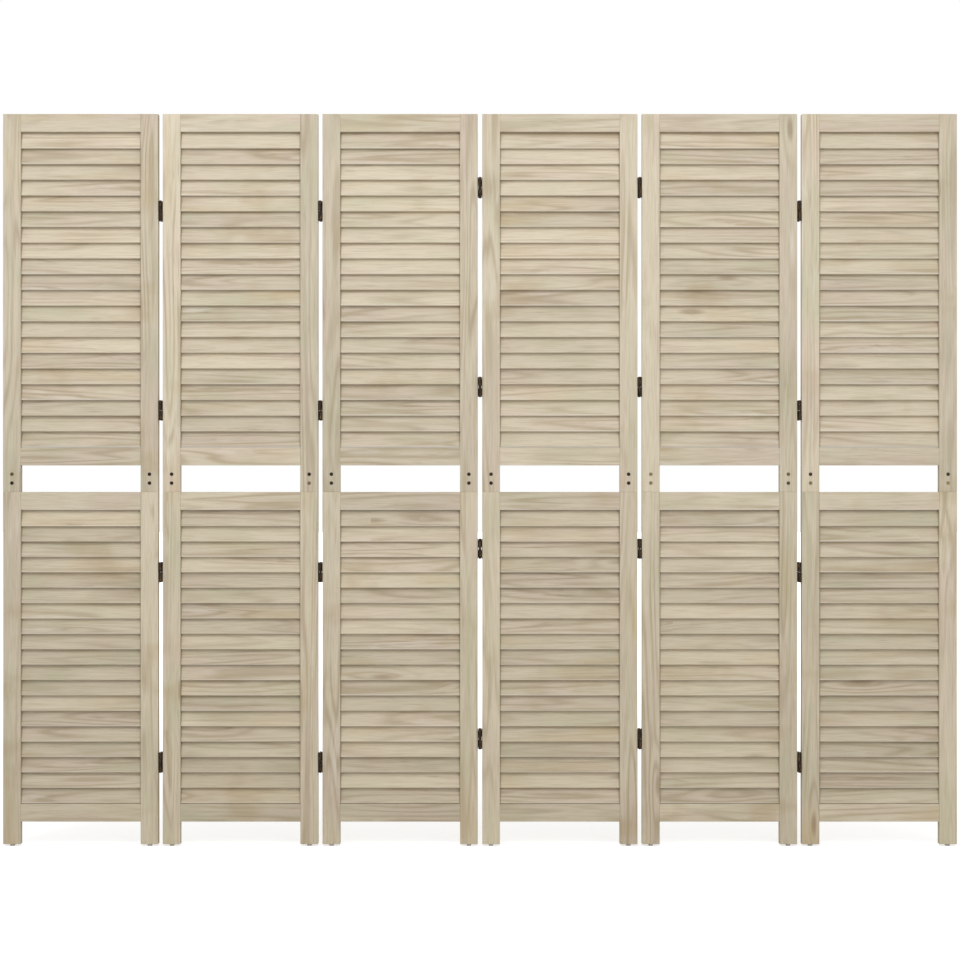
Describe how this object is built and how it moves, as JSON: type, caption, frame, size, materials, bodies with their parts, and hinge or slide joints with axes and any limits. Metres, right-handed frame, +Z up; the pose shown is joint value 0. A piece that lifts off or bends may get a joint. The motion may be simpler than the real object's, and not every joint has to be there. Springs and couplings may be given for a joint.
{
  "type": "folding screen",
  "caption": "Louvred wooden folding screen: panels with an upper and a lower slatted frame bolted together, joined by double-action hinges that fold either way.",
  "frame": {"origin": "on the floor, below the middle of the unfolded screen", "axes": "+X along the screen's width, -Y is the front with the bolt heads and the slats' lower edges, +Z is up"},
  "size_m": [2.15, 0.0278, 1.65],
  "materials": {
    "stile_wood": "weathered whitewash, matt, grain upright",
    "rail_wood": "weathered whitewash, matt, grain lengthwise",
    "slat_wood": "weathered whitewash, matt, grain lengthwise",
    "hinge_bronze": "antique bronze, satin",
    "fastener_metal": "dark bronze, satin",
    "glide_plastic": "matt, off-white"
  },
  "bodies": {
    "panel_1": {"panel_1_upper_stiles": "stile_wood", "panel_1_lower_stiles": "stile_wood", "panel_1_rails": "rail_wood", "panel_1_upper_slats": "slat_wood", "panel_1_lower_slats": "slat_wood", "panel_1_fasteners": "fastener_metal", "panel_1_hinge_leaves": "hinge_bronze", "panel_1_foot_glides": "glide_plastic"},
    "panel_2": {"panel_2_upper_stiles": "stile_wood", "panel_2_lower_stiles": "stile_wood", "panel_2_rails": "rail_wood", "panel_2_upper_slats": "slat_wood", "panel_2_lower_slats": "slat_wood", "panel_2_fasteners": "fastener_metal", "panel_2_hinge_leaves": "hinge_bronze", "panel_2_foot_glides": "glide_plastic"},
    "panel_3": {"panel_3_upper_stiles": "stile_wood", "panel_3_lower_stiles": "stile_wood", "panel_3_rails": "rail_wood", "panel_3_upper_slats": "slat_wood", "panel_3_lower_slats": "slat_wood", "panel_3_fasteners": "fastener_metal", "panel_3_hinge_leaves": "hinge_bronze", "panel_3_foot_glides": "glide_plastic"},
    "panel_4": {"panel_4_upper_stiles": "stile_wood", "panel_4_lower_stiles": "stile_wood", "panel_4_rails": "rail_wood", "panel_4_upper_slats": "slat_wood", "panel_4_lower_slats": "slat_wood", "panel_4_fasteners": "fastener_metal", "panel_4_hinge_leaves": "hinge_bronze", "panel_4_foot_glides": "glide_plastic"},
    "panel_5": {"panel_5_upper_stiles": "stile_wood", "panel_5_lower_stiles": "stile_wood", "panel_5_rails": "rail_wood", "panel_5_upper_slats": "slat_wood", "panel_5_lower_slats": "slat_wood", "panel_5_fasteners": "fastener_metal", "panel_5_hinge_leaves": "hinge_bronze", "panel_5_foot_glides": "glide_plastic"},
    "panel_6": {"panel_6_upper_stiles": "stile_wood", "panel_6_lower_stiles": "stile_wood", "panel_6_rails": "rail_wood", "panel_6_upper_slats": "slat_wood", "panel_6_lower_slats": "slat_wood", "panel_6_fasteners": "fastener_metal", "panel_6_hinge_leaves": "hinge_bronze", "panel_6_foot_glides": "glide_plastic"},
    "upper_links_1": {"hinge_line_1_upper_links": "hinge_bronze"},
    "lower_links_1": {"hinge_line_1_lower_links": "hinge_bronze"},
    "upper_links_2": {"hinge_line_2_upper_links": "hinge_bronze"},
    "lower_links_2": {"hinge_line_2_lower_links": "hinge_bronze"},
    "upper_links_3": {"hinge_line_3_upper_links": "hinge_bronze"},
    "lower_links_3": {"hinge_line_3_lower_links": "hinge_bronze"},
    "upper_links_4": {"hinge_line_4_upper_links": "hinge_bronze"},
    "lower_links_4": {"hinge_line_4_lower_links": "hinge_bronze"},
    "upper_links_5": {"hinge_line_5_upper_links": "hinge_bronze"},
    "lower_links_5": {"hinge_line_5_lower_links": "hinge_bronze"}
  },
  "joints": [
    {"name": "fold_3_front", "type": "hinge", "parent": "panel_3", "child": "upper_links_3", "pos_m": [0, -0.01, 0.8], "axis": [0, 0, -1], "range_deg": [0, 179]},
    {"name": "fold_3_back", "type": "hinge", "parent": "upper_links_3", "child": "panel_4", "pos_m": [0, 0.01, 0.8], "axis": [0, 0, -1], "range_deg": [-179, 0]},
    {"name": "lower_links_3_turn", "type": "hinge", "parent": "panel_3", "child": "lower_links_3", "pos_m": [0, 0.01, 0.8], "axis": [0, 0, -1], "range_deg": [-179, 0]},
    {"name": "fold_4_front", "type": "hinge", "parent": "panel_4", "child": "upper_links_4", "pos_m": [0.36, -0.01, 0.8], "axis": [0, 0, 1], "range_deg": [-179, 0]},
    {"name": "fold_4_back", "type": "hinge", "parent": "upper_links_4", "child": "panel_5", "pos_m": [0.36, 0.01, 0.8], "axis": [0, 0, 1], "range_deg": [0, 179]},
    {"name": "lower_links_4_turn", "type": "hinge", "parent": "panel_4", "child": "lower_links_4", "pos_m": [0.36, 0.01, 0.8], "axis": [0, 0, 1], "range_deg": [0, 179]},
    {"name": "fold_5_front", "type": "hinge", "parent": "panel_5", "child": "upper_links_5", "pos_m": [0.72, -0.01, 0.8], "axis": [0, 0, -1], "range_deg": [0, 179]},
    {"name": "fold_5_back", "type": "hinge", "parent": "upper_links_5", "child": "panel_6", "pos_m": [0.72, 0.01, 0.8], "axis": [0, 0, -1], "range_deg": [-179, 0]},
    {"name": "lower_links_5_turn", "type": "hinge", "parent": "panel_5", "child": "lower_links_5", "pos_m": [0.72, 0.01, 0.8], "axis": [0, 0, -1], "range_deg": [-179, 0]},
    {"name": "fold_2_back", "type": "hinge", "parent": "panel_3", "child": "upper_links_2", "pos_m": [-0.36, 0.01, 0.8], "axis": [0, 0, -1], "range_deg": [0, 179]},
    {"name": "fold_2_front", "type": "hinge", "parent": "upper_links_2", "child": "panel_2", "pos_m": [-0.36, -0.01, 0.8], "axis": [0, 0, -1], "range_deg": [-179, 0]},
    {"name": "lower_links_2_turn", "type": "hinge", "parent": "panel_3", "child": "lower_links_2", "pos_m": [-0.36, -0.01, 0.8], "axis": [0, 0, -1], "range_deg": [-179, 0]},
    {"name": "fold_1_back", "type": "hinge", "parent": "panel_2", "child": "upper_links_1", "pos_m": [-0.72, 0.01, 0.8], "axis": [0, 0, 1], "range_deg": [-179, 0]},
    {"name": "fold_1_front", "type": "hinge", "parent": "upper_links_1", "child": "panel_1", "pos_m": [-0.72, -0.01, 0.8], "axis": [0, 0, 1], "range_deg": [0, 179]},
    {"name": "lower_links_1_turn", "type": "hinge", "parent": "panel_2", "child": "lower_links_1", "pos_m": [-0.72, -0.01, 0.8], "axis": [0, 0, 1], "range_deg": [0, 179]}
  ],
  "couplings": [
    {"joint": "lower_links_3_turn", "follows": "fold_3_back", "ratio": 1},
    {"joint": "lower_links_4_turn", "follows": "fold_4_back", "ratio": 1},
    {"joint": "lower_links_5_turn", "follows": "fold_5_back", "ratio": 1},
    {"joint": "lower_links_2_turn", "follows": "fold_2_front", "ratio": 1},
    {"joint": "lower_links_1_turn", "follows": "fold_1_front", "ratio": 1}
  ]
}
